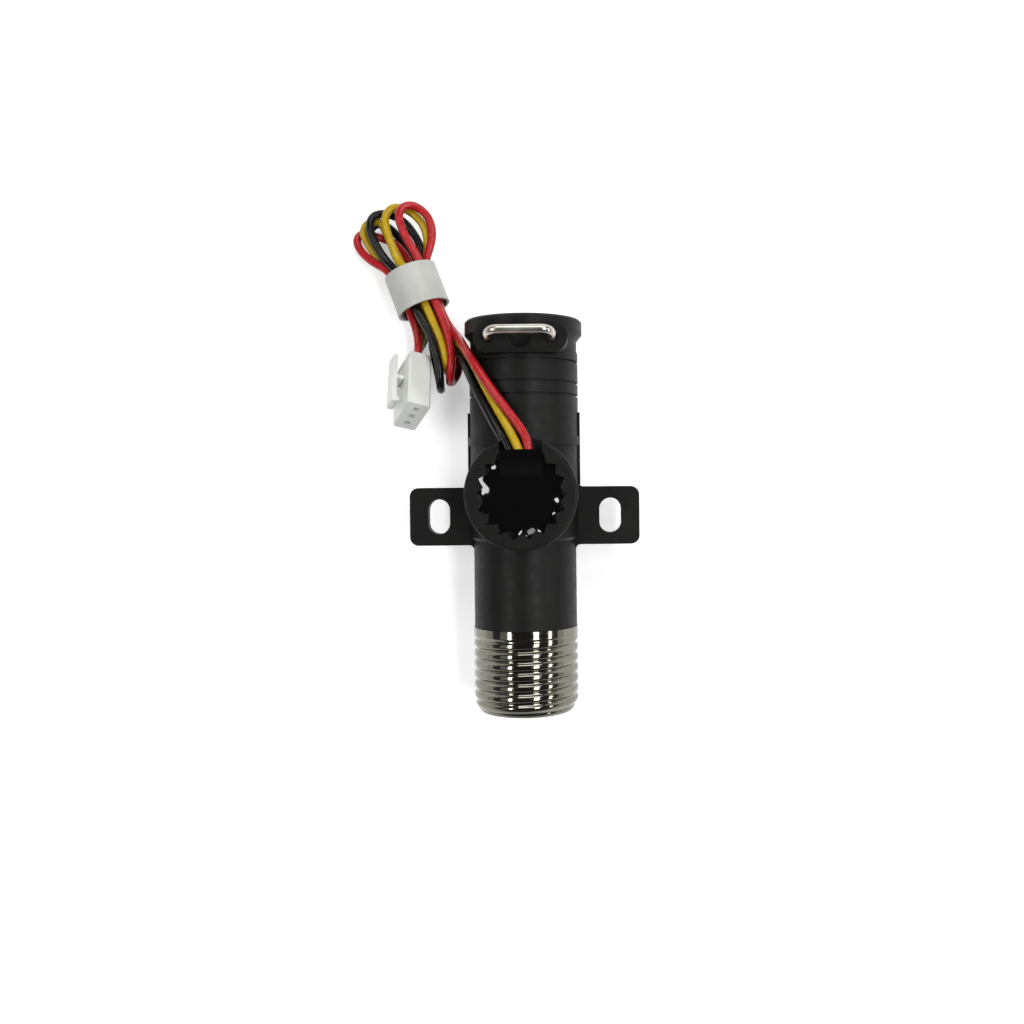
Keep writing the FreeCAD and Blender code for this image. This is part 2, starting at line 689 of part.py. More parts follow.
def cut_thread(body):
    """The thread's form, as a row of V grooves that stops short of the tube."""
    sketch = new_sketch(body, "XY")
    half = sizes.thread_groove / 2
    overshoot = 1.5
    bottom = sizes.thread_radius - sizes.thread_depth
    outside = bottom + overshoot * sizes.thread_depth
    room = sizes.thread_length - sizes.thread_plain - half - sizes.thread_first
    for turn in range(int(room.value // sizes.thread_pitch.value) + 1):
        place = sizes.thread_first + turn * sizes.thread_pitch
        polygon(sketch, [
            (outside, place - overshoot * half),
            (bottom, place),
            (outside, place + overshoot * half),
        ])
    feature(body, "Groove", sketch, ReferenceAxis=(sketch, ["V_Axis"]), Angle=360.0)


def make_inlet_seal():
    """The ring that seals the inlet against the moulding."""
    ring = document.addObject("Part::Torus", "inlet_seal")
    ring.Label = "inlet_seal"
    bind(ring, "Radius1", sizes.spigot_radius - sizes.seal_section_radius)
    bind(ring, "Radius2", sizes.seal_section_radius)
    bind(ring, "Placement.Base.y", sizes.thread_length + sizes.seal_setback)
    ring.Placement.Rotation = FreeCAD.Rotation(Vector(1, 0, 0), 90)
    return ring


def make_flow_guide():
    """Fixed twisted vanes that set the water turning, with the front bush pocket."""
    body = new_body("flow_guide")
    hub_start = guide_seat + sizes.hub_end_wall
    pocket_start = guide_end - sizes.bush_length
    nose_end = hub_start + sizes.guide_nose
    turned(body, [
        (0, hub_start),
        (sizes.guide_nose_radius, hub_start),
        (sizes.guide_hub_radius, nose_end),
        (sizes.guide_hub_radius, guide_end),
        (sizes.bush_radius, guide_end),
        (sizes.bush_radius, pocket_start),
        (0, pocket_start),
    ])
    outside = sizes.chamber_radius - sizes.slip
    inside = outside - sizes.guide_wall
    vane, sketch = twisted_blade(
        body, (sizes.guide_hub_radius + sizes.bush_radius) / 2, inside + sizes.guide_wall / 2,
        sizes.vane_thickness, nose_end, guide_end - sizes.hub_end_wall, sizes.vane_twist)
    ring_pattern(body, vane, (sketch, ["N_Axis"]), sizes.vane_count)
    turned(body, [
        (inside, guide_seat),
        (outside, guide_seat),
        (outside, guide_end),
        (inside, guide_end),
    ])
    return body


def make_bush(label, start):
    """A plain bearing bush for one end of the shaft."""
    body = new_body(label)
    bore = sizes.shaft_radius + sizes.shaft_play
    turned(body, [
        (bore, start),
        (sizes.bush_radius, start),
        (sizes.bush_radius, start + sizes.bush_length),
        (bore, start + sizes.bush_length),
    ])
    return body


def make_rotor():
    """The turbine: twisted blades on a hub that carries the magnet ring."""
    body = new_body("rotor")
    flange_start = magnet_start - sizes.magnet_flange
    lip = sizes.magnet_bore + sizes.magnet_lip
    turned(body, [
        (sizes.shaft_radius, rotor_start),
        (sizes.rotor_hub_radius - sizes.rotor_nose, rotor_start),
        (sizes.rotor_hub_radius, rotor_start + sizes.rotor_nose),
        (sizes.rotor_hub_radius, flange_start),
        (sizes.magnet_radius, flange_start),
        (sizes.magnet_radius, magnet_start),
        (sizes.magnet_bore, magnet_start),
        (sizes.magnet_bore, magnet_end),
        (lip, magnet_end),
        (sizes.magnet_bore, rotor_end),
        (sizes.shaft_radius, rotor_end),
    ])
    start = rotor_start + sizes.blade_start
    blade, sketch = twisted_blade(
        body, (sizes.shaft_radius + sizes.rotor_hub_radius - sizes.rotor_nose) / 2,
        sizes.chamber_radius - sizes.blade_tip_gap, sizes.blade_thickness,
        start, start + sizes.blade_length, sizes.blade_twist)
    ring_pattern(body, blade, (sketch, ["N_Axis"]), sizes.blade_count)
    return body


def make_magnet_ring():
    """The ring magnet whose poles pass under the sensor chip."""
    body = new_body("magnet_ring")
    turned(body, [
        (sizes.magnet_bore, magnet_start),
        (sizes.magnet_radius, magnet_start),
        (sizes.magnet_radius, magnet_end),
        (sizes.magnet_bore, magnet_end),
    ])
    return body


def make_rotor_shaft():
    """The steel shaft, fast in the rotor and free in the two bushes."""
    body = new_body("rotor_shaft")
    start = guide_end - sizes.bush_length + sizes.shaft_end_play
    end = spider_seat + sizes.bush_length - sizes.shaft_end_play
    turned(body, [
        (0, start),
        (sizes.shaft_radius - sizes.shaft_chamfer, start),
        (sizes.shaft_radius, start + sizes.shaft_chamfer),
        (sizes.shaft_radius, end - sizes.shaft_chamfer),
        (sizes.shaft_radius - sizes.shaft_chamfer, end),
        (0, end),
    ])
    return body


def make_rear_spider():
    """The ring and arms that hold the rear bush in the bore."""
    body = new_body("rear_spider")
    pocket_end = spider_seat + sizes.bush_length
    turned(body, [
        (sizes.bush_radius, spider_seat),
        (sizes.spider_hub_radius, spider_seat),
        (sizes.spider_hub_radius, spider_end),
        (0, spider_end),
        (0, pocket_end),
        (sizes.bush_radius, pocket_end),
    ])
    outside = sizes.spider_bore_radius - sizes.slip
    inside = outside - sizes.spider_wall
    arm, sketch = twisted_blade(
        body, (sizes.bush_radius + sizes.spider_hub_radius) / 2, inside + sizes.spider_wall / 2,
        sizes.spider_arm, spider_seat, spider_end, 0)
    ring_pattern(body, arm, (sketch, ["N_Axis"]), sizes.spider_arms)
    turned(body, [
        (inside, spider_seat),
        (outside, spider_seat),
        (outside, spider_end),
        (inside, spider_end),
    ])
    return body


def make_snap_ring():
    """The open spring ring that keeps the spider on its shoulder."""
    body = new_body("snap_ring")
    outside = sizes.spider_bore_radius + sizes.snap_groove_depth - sizes.slip
    inside = outside - sizes.snap_width
    turned(body, [
        (inside, spider_end),
        (outside, spider_end),
        (outside, spider_end + sizes.snap_thickness),
        (inside, spider_end + sizes.snap_thickness),
    ])
    opening = new_sketch(body, "XY")
    half = sizes.snap_gap / 2
    rectangle(opening, (-half, spider_end - sizes.slip),
              (half, spider_end + sizes.snap_thickness + sizes.slip))
    cut(body, opening, 2 * outside, Reversed=False)
    return body


def make_block(label, centre, width, length, low, height, corner=None):
    """A flat block: centre and size across the port, lower face and height."""
    body = new_body(label)
    sketch = new_sketch(body, "XY", (centre[0], centre[1], low))
    rectangle(sketch, (-width / 2, -length / 2), (width / 2, length / 2))
    pad(body, sketch, height)
    if corner:
        smooth_edges(body, "Fillet", corner,
                     lambda edge: abs(edge.tangentAt(edge.FirstParameter).z) > 0.999)
    return body


def make_group(label, members):
    """Several solids that count as one piece."""
    group = document.addObject("Part::Compound", label)
    group.Label = label
    group.Links = members
    document.recompute()
    return group


def make_board_pieces():
    """The sensor chip, the board over it and the small parts on the board."""
    chip = make_block("hall_chip", port_centre, sizes.chip_width, sizes.chip_length,
                      well_floor, sizes.chip_height)
    board = make_block("hall_board", port_centre, sizes.board_side, sizes.board_side,
                       board_base, sizes.board_thickness, sizes.board_corner)
    smalls = []
    for side in (-1, 1):
        centre = (side * sizes.capacitor_place, port_place - sizes.capacitor_place)
        smalls.append(make_block(f"board_part_{len(smalls)}", centre, sizes.capacitor_width,
                                 sizes.capacitor_length, board_top, sizes.capacitor_height))
    return chip, board, make_group("board_parts", smalls)


def make_potting(hidden):
    """The resin that fills the well, rises at its wall and holds the wires in the slot."""
    body = new_body("potting_fill")
    fill = new_sketch(body, "XZ", (0, 0, -port_place))
    polygon(fill, [
        (0, well_floor),
        (sizes.well_radius, well_floor),
        (sizes.well_radius, potting_level + sizes.potting_rise),
        (sizes.well_radius - sizes.potting_rise_width / 3,
         potting_level + sizes.potting_rise / 3),
        (sizes.well_radius - sizes.potting_rise_width, potting_level),
        (0, potting_level),
    ])
    feature(body, "Revolution", fill, ReferenceAxis=(fill, ["V_Axis"]), Angle=360.0)
    tongue = new_sketch(body, "XY", (0, port_place, slot_floor))
    half = sizes.lead_slot_width / 2
    rectangle(tongue, (-half, sizes.well_radius / 2), (half, sizes.tongue_reach))
    pad(body, tongue, sizes.tongue_height)
    resin = document.addObject("Part::Cut", "potting")
    resin.Label = "potting"
    resin.Base = body
    resin.Tool = hidden
    document.recompute()
    return resin


def make_clip():
    """The steel wire clip: two legs and a bow that is cranked towards the outlet."""
    bow = sizes.pad_height + sizes.clip_stand_off + sizes.clip_crank_rise
    half = [
        (-sizes.clip_leg_depth, clip_place),
        (sizes.pad_height + sizes.clip_stand_off, clip_place),
        (bow, clip_place + sizes.clip_crank),
    ]
    leg = sizes.clip_leg_place.value
    points = [Vector(-leg, place.value, height.value) for height, place in half]
    points += [Vector(leg, point.y, point.z) for point in reversed(points)]
    return round_bar("retaining_clip", points, sizes.clip_wire_radius.value,
                     sizes.clip_bend.value)


# The harness lies on the table beside the tube. Its hank has its own frame: Y along the tie
# sleeve towards the loops, Z up. The plug's frame has Z towards its mating face.
hank_place = FreeCAD.Placement(Vector(-22.1, 85.4, -4.85), FreeCAD.Rotation(20.5, 0, -6))
plug_axes = FreeCAD.Rotation(
    Vector(0.878, -0.218, -0.427), Vector(0.477, 0.485, 0.733), Vector(0.047, -0.847, 0.529), "ZXY")
plug_place = FreeCAD.Placement(Vector(-23.3, 70.1, -6.45), plug_axes)

# Wires from just inside the potting tongue to the tie sleeve: place across the tongue and
# the way points
lead_depth = 0.6
lead_start = port_place.value + sizes.tongue_reach.value - lead_depth
lead_height = slot_floor.value + sizes.tongue_height.value / 2
LEADS = {
    "wire_red": (1.55, [
        (1.2, 53.4, 13.2), (-0.1, 55.9, 13.2), (-2.2, 59.5, 12.9), (-4.9, 63.1, 11.9),
        (-7.9, 67.5, 9.7), (-10.9, 71.8, 6.4), (-14.5, 77.2, 1.2), (-17.2, 81.5, -3.2)]),
    "wire_yellow": (-0.25, [
        (-0.85, 53.3, 13.1), (-2.4, 55.8, 13.0), (-4.5, 59.0, 12.2), (-6.9, 62.8, 10.6),
        (-9.4, 66.9, 8.2), (-12.3, 71.2, 4.9), (-15.25, 76.6, -0.9), (-16.95, 81.1, -5.3)]),
    "wire_black": (-2.1, [
        (-2.85, 53.2, 13.1), (-4.45, 55.7, 12.5), (-6.7, 58.9, 11.0), (-9.2, 62.7, 9.0),
        (-11.6, 66.9, 6.3), (-14.0, 71.15, 2.8), (-16.25, 76.1, -2.95), (-17.7, 80.6, -7.3)]),
}

# Wires from the tie sleeve to the plug: place along the contact row, then the way points
TAILS = {
    "tail_red": (1, [
        (-24.0, 82.2, -2.9), (-23.3, 80.1, -4.5), (-22.5, 77.6, -5.6), (-22.05, 74.95, -5.85)]),
    "tail_yellow": (0, [
        (-22.0, 81.35, -5.15), (-21.68, 78.95, -6.6), (-21.7, 76.5, -7.7), (-22.4, 73.8, -7.9)]),
    "tail_black": (-1, [
        (-23.03, 80.07, -7.12), (-23.3, 78.0, -8.65), (-23.3, 75.5, -9.5), (-23.9, 72.7, -9.6)]),
}
TAIL_STRAIGHT = 1.2

# Sections of the hank: place along its axis, across, up, half width and half height
sleeve_bore = sizes.sleeve_radius - sizes.sleeve_wall
half_sleeve = sizes.sleeve_length / 2
HANK_SECTIONS = [
    (-21.4, -0.3, -0.2, 1.4, 0.9), (-19.5, 0.35, -0.2, 2.55, 1.7), (-15.2, 1.55, 0, 2.9, 2.2),
    (-9.3, 1.5, 0, 3.3, 2.7), (-half_sleeve, 0, 0, sleeve_bore, sleeve_bore),
    (half_sleeve, 0, 0, sleeve_bore, sleeve_bore), (9.5, 0.8, -0.7, 7.8, 4.2),
    (14.0, -0.1, -1.0, 8.6, 3.5), (17.4, -0.2, -1.2, 7.8, 2.9), (19.8, 1.1, -1.4, 4.6, 1.7),
]


def make_leads():
    """The three wires from the potting to the hank."""
    pieces = []
    for label, (across, way) in LEADS.items():
        start = Vector(across, lead_start, lead_height)
        points = [start] + [Vector(*point) for point in way]
        pieces.append(round_bar(label, points, sizes.wire_radius.value))
    return pieces


def make_tails():
    """The three wires from the hank into the plug."""
    pieces = []
    pitch = sizes.contact_pitch.value
    for label, (row, way) in TAILS.items():
        outside = plug_place.multVec(Vector(0, row * pitch, -TAIL_STRAIGHT))
        inside = plug_place.multVec(Vector(0, row * pitch, sizes.wire_entry.value))
        points = [Vector(*point) for point in way] + [outside, inside]
        pieces.append(round_bar(label, points, sizes.wire_radius.value))
    return pieces


def make_hank():
    """The outer shape of the folded wires, as one closed solid."""
    sections = []
    for along, across, up, half_width, half_height in HANK_SECTIONS:
        ellipse = document.addObject("Part::Ellipse", "hank_section")
        bind(ellipse, "MajorRadius", half_width)
        bind(ellipse, "MinorRadius", half_height)
        upright = FreeCAD.Rotation(Vector(1, 0, 0), 90)
        ellipse.Placement = FreeCAD.Placement(Vector(across, 0, up), upright)
        bind(ellipse, "Placement.Base.y", along)
        sections.append(ellipse)
    hank = document.addObject("Part::Loft", "wire_hank")
    hank.Label = "wire_hank"
    hank.Sections = sections
    hank.Solid = True
    hank.Ruled = True
    hank.Placement = hank_place
    return hank


def make_sleeve():
    """The short soft tube that ties the hank."""
    body = new_body("hank_sleeve")
    turned(body, [
        (sleeve_bore, -half_sleeve),
        (sizes.sleeve_radius, -half_sleeve),
        (sizes.sleeve_radius, half_sleeve),
        (sleeve_bore, half_sleeve),
    ])
    body.Placement = hank_place
    return body


def make_plug_housing():
    """The moulded plug with a row of cavities for its contacts."""
    body = new_body("plug_housing")
    block = new_sketch(body, "XY")
    half_thickness, half_width = sizes.plug_thickness / 2, sizes.plug_width / 2
    rectangle(block, (-half_thickness, -half_width), (half_thickness, half_width))
    pad(body, block, sizes.plug_length)
    smooth_edges(body, "Chamfer", sizes.plug_edge,
                 lambda edge: abs(edge.tangentAt(edge.FirstParameter).z) > 0.999)
    holes = new_sketch(body, "XY")
    cavities = new_sketch(body, "XY")
    for row in (-1, 0, 1):
        place = row * sizes.contact_pitch
        for sketch, side in ((holes, sizes.contact_hole), (cavities, sizes.cavity_side)):
            rectangle(sketch, (-side / 2, place - side / 2), (side / 2, place + side / 2))
    cut(body, holes)
    cut(body, cavities, sizes.plug_length - sizes.mating_wall, Reversed=True)
    line = new_sketch(body, "XZ")
    for side in (-1, 1):
        rectangle(line, (side * (half_thickness - sizes.plug_line), sizes.plug_rim),
                  (side * (half_thickness + sizes.plug_line), sizes.plug_rim + sizes.plug_line))
    cut(body, line)
    body.Placement = plug_place
    return body


def make_plug_contacts():
    """Three crimped contacts, each a box behind the mating face and a barrel on its wire."""
    members = []
    for row in (-1, 0, 1):
        body = new_body(f"contact_{row + 1}")
        place = (0, row * sizes.contact_pitch, sizes.plug_length - sizes.mating_wall)
        box = new_sketch(body, "XY", place)
        half = sizes.contact_side / 2
        rectangle(box, (-half, -half), (half, half))
        hollow = sizes.contact_hole / 2
        rectangle(box, (-hollow, -hollow), (hollow, hollow))
        pad(body, box, sizes.contact_length, Reversed=True)
        barrel = new_sketch(body, "XY", (0, row * sizes.contact_pitch, sizes.wire_entry))
        circle(barrel, (0, 0), sizes.contact_side / 2)
        box_back = sizes.plug_length - sizes.mating_wall - sizes.contact_length
        pad(body, barrel, box_back + sizes.contact_hole / 2 - sizes.wire_entry)
        body.Placement = plug_place
        members.append(body)
    return make_group("plug_contacts", members)


def make_plug_latch():
    """The rocking latch: a hooked bar on a short web that rocks on a round bead."""
    body = new_body("plug_latch")
    face = sizes.plug_thickness / 2
    near = -face - sizes.latch_gap
    far = near - sizes.latch_thickness
    pivot = -face - sizes.latch_bead_gap - sizes.latch_bead
    web = sizes.latch_web / 2
    bar = new_sketch(body, "XZ")
    polygon(bar, [
        (far, -sizes.latch_start),
        (near, -sizes.latch_start),
        (near, sizes.latch_pivot - web),
        (pivot, sizes.latch_pivot - web),
        (pivot, sizes.latch_pivot + web),
        (near, sizes.latch_pivot + web),
        (near, sizes.latch_end - 2 * sizes.latch_hook),
        (near + sizes.latch_hook, sizes.latch_end - sizes.latch_hook),
        (near + sizes.latch_hook, sizes.latch_end - sizes.latch_hook / 2),
        (near, sizes.latch_end),
        (far, sizes.latch_end),
    ])
    pad(body, bar, sizes.latch_width, Midplane=True)
    bead = new_sketch(body, "XZ")
    circle(bead, (pivot, sizes.latch_pivot), sizes.latch_bead)
    pad(body, bead, sizes.latch_width, Midplane=True)
    body.Placement = plug_place
    return body


def make_all():
    """Every piece of the sensor."""
    chip, board, smalls = make_board_pieces()
    sealed = make_group("sealed_pieces", [chip, board, smalls])
    pieces = [
        make_sensor_body(),
        make_inlet_thread(),
        make_inlet_seal(),
        make_flow_guide(),
        make_bush("front_bush", guide_end - sizes.bush_length),
        make_rotor(),
        make_magnet_ring(),
        make_rotor_shaft(),
        make_bush("rear_bush", spider_seat),
        make_rear_spider(),
        make_snap_ring(),
        chip,
        board,
        smalls,
        make_potting(sealed),
        make_clip(),
    ]
    pieces += make_leads()
    pieces += [make_hank(), make_sleeve()]
    pieces += make_tails()
    pieces += [make_plug_housing(), make_plug_contacts(), make_plug_latch()]
    return pieces


def write_pieces(pieces):
    """Check every object, then write each piece to a file of its own."""
    document.recompute()
    for thing in document.Objects:
        if "Invalid" in thing.State or "Error" in thing.State:
            raise RuntimeError(f"{thing.Label} did not build: {thing.State}")
    for piece in pieces:
        if piece.Shape.isNull() or not piece.Shape.isValid():
            raise RuntimeError(f"{piece.Label} has no valid shape")
    os.makedirs("parts", exist_ok=True)
    for piece in pieces:
        piece.Shape.exportStep(f"parts/{piece.Label}.step")
        box = piece.Shape.BoundBox
        print(f"{piece.Label}: {len(piece.Shape.Solids)} solids, {piece.Shape.Volume:.1f} mm3, "
              f"z {box.ZMin:.2f} to {box.ZMax:.2f}")


write_pieces(make_all())
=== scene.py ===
import math

import bpy
from mathutils import Matrix, Vector


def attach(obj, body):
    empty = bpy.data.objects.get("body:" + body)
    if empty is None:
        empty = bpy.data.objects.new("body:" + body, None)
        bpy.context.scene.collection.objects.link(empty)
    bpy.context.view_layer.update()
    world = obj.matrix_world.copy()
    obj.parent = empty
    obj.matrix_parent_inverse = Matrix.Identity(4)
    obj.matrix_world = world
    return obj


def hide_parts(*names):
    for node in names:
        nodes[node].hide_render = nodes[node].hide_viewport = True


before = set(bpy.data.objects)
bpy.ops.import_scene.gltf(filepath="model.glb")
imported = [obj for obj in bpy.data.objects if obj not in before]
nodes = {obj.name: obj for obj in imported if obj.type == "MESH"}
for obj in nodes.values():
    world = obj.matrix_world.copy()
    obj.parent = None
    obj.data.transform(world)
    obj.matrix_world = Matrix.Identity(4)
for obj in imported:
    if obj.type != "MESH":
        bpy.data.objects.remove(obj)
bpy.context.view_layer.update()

MM = 0.001


# Shader arithmetic

def map_range(tree, value, start, end, low, high):
    """A value that goes from low to high while another one goes from start to end."""
    node = tree.nodes.new("ShaderNodeMapRange")
    node.inputs["From Min"].default_value = start
    node.inputs["From Max"].default_value = end
    node.inputs["To Min"].default_value = low
    node.inputs["To Max"].default_value = high
    tree.links.new(value, node.inputs["Value"])
    return node.outputs["Result"]


def combine(tree, operation, first, second):
    """Two values put together by one step of arithmetic."""
    node = tree.nodes.new("ShaderNodeMath")
    node.operation = operation
    tree.links.new(first, node.inputs[0])
    tree.links.new(second, node.inputs[1])
    return node.outputs["Value"]


# Materials, by the name of their slot

FINISHES = {}
NOISE_RANGE = (0.3, 0.7)
GLOSS_SPREAD = 0.06
METAL_GLOSSIEST = 0.7
METAL_DULLEST = 1.5
SHEATH_ROUGHNESS = (0.2, 0.32)


class Finish:
    """One procedural material: a principled shader with textures in the part's own coordinates."""

    def __init__(self, name, colour, **values):
        self.material = bpy.data.materials.new(f"{name}_finish")
        self.material.use_nodes = True
        self.tree = self.material.node_tree
        self.shader = self.tree.nodes["Principled BSDF"]
        self.shader.inputs["Base Color"].default_value = (*colour, 1)
        for socket, value in values.items():
            self.shader.inputs[socket.replace("_", " ")].default_value = value
        self.place = self.tree.nodes.new("ShaderNodeTexCoord").outputs["Object"]
        self.relief = None
        FINISHES[name] = self

    def link(self, output, node, socket):
        self.tree.links.new(output, node.inputs[socket])

    def noise(self, size, detail, stretch=(1, 1, 1)):
        """Noise whose spots are about size millimetres across, longer along a stretched axis."""
        mapping = self.tree.nodes.new("ShaderNodeMapping")
        mapping.inputs["Scale"].default_value = [1 / s for s in stretch]
        self.link(self.place, mapping, "Vector")
        texture = self.tree.nodes.new("ShaderNodeTexNoise")
        texture.inputs["Scale"].default_value = 1 / (size * MM)
        texture.inputs["Detail"].default_value = detail
        self.link(mapping.outputs["Vector"], texture, "Vector")
        return texture.outputs["Fac"]

    def tint(self, value, low, high):
        """Colour that varies between two colours."""
        node = self.tree.nodes.new("ShaderNodeValToRGB")
        for stop, position, colour in zip(node.color_ramp.elements, NOISE_RANGE, (low, high)):
            stop.position = position
            stop.color = (*colour, 1)
        self.link(value, node, "Fac")
        self.link(node.outputs["Color"], self.shader, "Base Color")

    def dull(self, value, low, high):
        """Roughness that varies between two values."""
        start, end = NOISE_RANGE
        self.link(map_range(self.tree, value, start, end, low, high), self.shader, "Roughness")

    def bump(self, value, depth, strength):
        """Relief of a given depth in millimetres, on top of any earlier relief."""
        node = self.tree.nodes.new("ShaderNodeBump")
        node.inputs["Strength"].default_value = strength
        node.inputs["Distance"].default_value = depth * MM
        self.link(value, node, "Height")
        if self.relief:
            self.link(self.relief, node, "Normal")
        self.relief = node.outputs["Normal"]
        self.link(self.relief, self.shader, "Normal")


def moulded(name, low, high, rough, **values):
    """A moulded plastic or rubber: slight cloudiness, a fine eroded grain and uneven gloss."""
    finish = Finish(name, high, **values)
    finish.tint(finish.noise(size=5.0, detail=4.0), low, high)
    finish.dull(finish.noise(size=1.6, detail=5.0), rough - GLOSS_SPREAD, rough + GLOSS_SPREAD)
    finish.bump(finish.noise(size=0.35, detail=4.0), depth=0.02, strength=0.5)
    finish.bump(finish.noise(size=9.0, detail=2.0), depth=0.08, strength=0.35)


def metal(name, low, high, rough, streak=(1, 1, 1)):
    """A metal with faint drawn streaks and uneven gloss."""
    finish = Finish(name, high, Metallic=1.0)
    finish.tint(finish.noise(size=1.2, detail=5.0, stretch=streak), low, high)
    gloss = finish.noise(size=0.8, detail=5.0, stretch=streak)
    finish.dull(gloss, rough * METAL_GLOSSIEST, rough * METAL_DULLEST)
    finish.bump(finish.noise(size=0.4, detail=3.0, stretch=streak), depth=0.0015, strength=0.4)


def cast_resin(name, low, high, rough, shine):
    """A glossy resin that was poured in and set slightly uneven."""
    finish = Finish(name, high, Roughness=rough, Specular_IOR_Level=shine)
    finish.tint(finish.noise(size=2.0, detail=3.0), low, high)
    finish.bump(finish.noise(size=3.0, detail=2.0), depth=0.05, strength=0.4)


def sheath(name, low, high, shine=0.3):
    """Extruded wire insulation."""
    finish = Finish(name, high, Specular_IOR_Level=shine)
    finish.tint(finish.noise(size=1.5, detail=4.0), low, high)
    finish.dull(finish.noise(size=0.7, detail=4.0), *SHEATH_ROUGHNESS)
    finish.bump(finish.noise(size=0.5, detail=3.0), depth=0.02, strength=0.4)


moulded("body_plastic", (0.0038, 0.0038, 0.0035), (0.0062, 0.0062, 0.0057), rough=0.46,
        Specular_IOR_Level=0.14)
metal("plated_brass", (0.14, 0.132, 0.106), (0.21, 0.201, 0.168), rough=0.08, streak=(6, 1, 6))
moulded("seal_rubber", (0.010, 0.010, 0.010), (0.016, 0.016, 0.016), rough=0.7)
moulded("white_plastic", (0.66, 0.66, 0.62), (0.74, 0.74, 0.70), rough=0.4)
moulded("bush_plastic", (0.42, 0.36, 0.26), (0.52, 0.46, 0.34), rough=0.45)
moulded("magnet", (0.030, 0.030, 0.032), (0.045, 0.045, 0.046), rough=0.5, Metallic=0.4)
metal("bright_steel", (0.52, 0.51, 0.49), (0.66, 0.65, 0.62), rough=0.15, streak=(1, 5, 1))
metal("spring_steel", (0.40, 0.365, 0.31), (0.60, 0.57, 0.52), rough=0.26, streak=(5, 1, 5))
moulded("chip_plastic", (0.012, 0.012, 0.013), (0.02, 0.02, 0.02), rough=0.5)
moulded("board_laminate", (0.012, 0.09, 0.04), (0.02, 0.13, 0.06), rough=0.35)
moulded("capacitor_ceramic", (0.35, 0.26, 0.17), (0.45, 0.34, 0.23), rough=0.4)
cast_resin("potting_resin", (0.0006, 0.0006, 0.0006), (0.0012, 0.0012, 0.0013), rough=0.06, shine=0.7)
sheath("red_sheath", (0.34, 0.007, 0.011), (0.43, 0.013, 0.019))
sheath("yellow_sheath", (0.39, 0.25, 0.004), (0.48, 0.32, 0.008))
sheath("black_sheath", (0.0022, 0.0025, 0.0028), (0.0042, 0.0046, 0.005), shine=0.26)
moulded("grey_sleeve", (0.40, 0.405, 0.378), (0.465, 0.47, 0.44), rough=0.45)
moulded("plug_plastic", (0.66, 0.675, 0.635), (0.73, 0.745, 0.70), rough=0.38)
metal("contact_tin", (0.56, 0.54, 0.48), (0.70, 0.68, 0.62), rough=0.28)

for node in nodes.values():
    for slot in node.material_slots:
        slot.material = FINISHES[slot.material.name].material


# Meshes, with points in millimetres

def rows_of(total, count):
    """Numbers of the points in rows or rings that follow each other, with the same count in each."""
    return [list(range(start, start + count)) for start in range(0, total, count)]


def band(first, second):
    """Faces that join two closed rings of point numbers."""
    return list(zip(first, first[1:] + first[:1], second[1:] + second[:1], second))


def new_mesh(name, points, faces, finish, crisp):
    """A smooth piece whose edges stay crisp where they turn by more than an angle in degrees."""
    mesh = bpy.data.meshes.new(name)
    mesh.from_pydata([Vector(p) * MM for p in points], [], faces)
    mesh.validate()
    mesh.polygons.foreach_set("use_smooth", [True] * len(mesh.polygons))
    mesh.materials.append(FINISHES[finish].material)
    piece = bpy.data.objects.new(name, mesh)
    bpy.context.collection.objects.link(piece)
    edges = piece.modifiers.new("edges", "EDGE_SPLIT")
    edges.split_angle = math.radians(crisp)
    return piece


# The threaded inlet, with places along it from its open end

THREAD_RADIUS = 10.47
THREAD_PITCH = 2.05
THREAD_DEPTH = 0.44
THREAD_SHARPNESS = 2.0
THREAD_GROOVE = 2.7
THREAD_FIRST = 0.5
THREAD_LAST = 15.2
THREAD_RUNOUT = 0.9
LEAD_LENGTH = 2.4
LEAD_DROP = 1.1
LEAD_CURVE = 1.6
SHOULDER = 16.74
INLET_STEPS = 170
INLET_SIDES = 160
INLET_CRISP = 50
INLET_LENGTH = 24.5
SPIGOT_START = 16.75
SPIGOT_RADIUS = 8.8
SEAL_GROOVE_RADIUS = 8.35
KEY_GROOVE_RADIUS = 8.2
BORE_RADIUS = 6.4
BORE_CHAMFER = 0.6

# Radius and place of each corner of the moulded in end, and back through the water way
SPIGOT = [(SPIGOT_RADIUS, SPIGOT_START), (SPIGOT_RADIUS, 19.9),
          (SEAL_GROOVE_RADIUS, 20.2), (SEAL_GROOVE_RADIUS, 20.8),
          (SPIGOT_RADIUS, 21.1), (SPIGOT_RADIUS, 22.4),
          (KEY_GROOVE_RADIUS, 22.4), (KEY_GROOVE_RADIUS, 23.6),
          (SPIGOT_RADIUS, 23.6), (SPIGOT_RADIUS, INLET_LENGTH),
          (BORE_RADIUS, INLET_LENGTH), (BORE_RADIUS, 12.0),
          (BORE_RADIUS, BORE_CHAMFER), (BORE_RADIUS + BORE_CHAMFER, 0.0)]


def groove(place, angle):
    """Depth of the thread's groove, from 0 on a crest to 1 at the root, as it winds along the inlet."""
    turn = (place - THREAD_GROOVE) / THREAD_PITCH - angle / (2 * math.pi)
    return (0.5 + 0.5 * math.cos(2 * math.pi * turn)) ** THREAD_SHARPNESS


def thread_radius(place, angle):
    """Outside of the inlet: a rounded lead, and a thread that runs out at both ends."""
    radius = THREAD_RADIUS
    if place < LEAD_LENGTH:
        radius -= LEAD_DROP * (1 - place / LEAD_LENGTH) ** LEAD_CURVE
    fade = min((place - THREAD_FIRST) / THREAD_RUNOUT, (THREAD_LAST - place) / THREAD_RUNOUT, 1.0)
    return radius - THREAD_DEPTH * max(fade, 0.0) * groove(place, angle)


def inlet_point(radius, place, angle):
    return radius * math.sin(angle), place, radius * math.cos(angle)


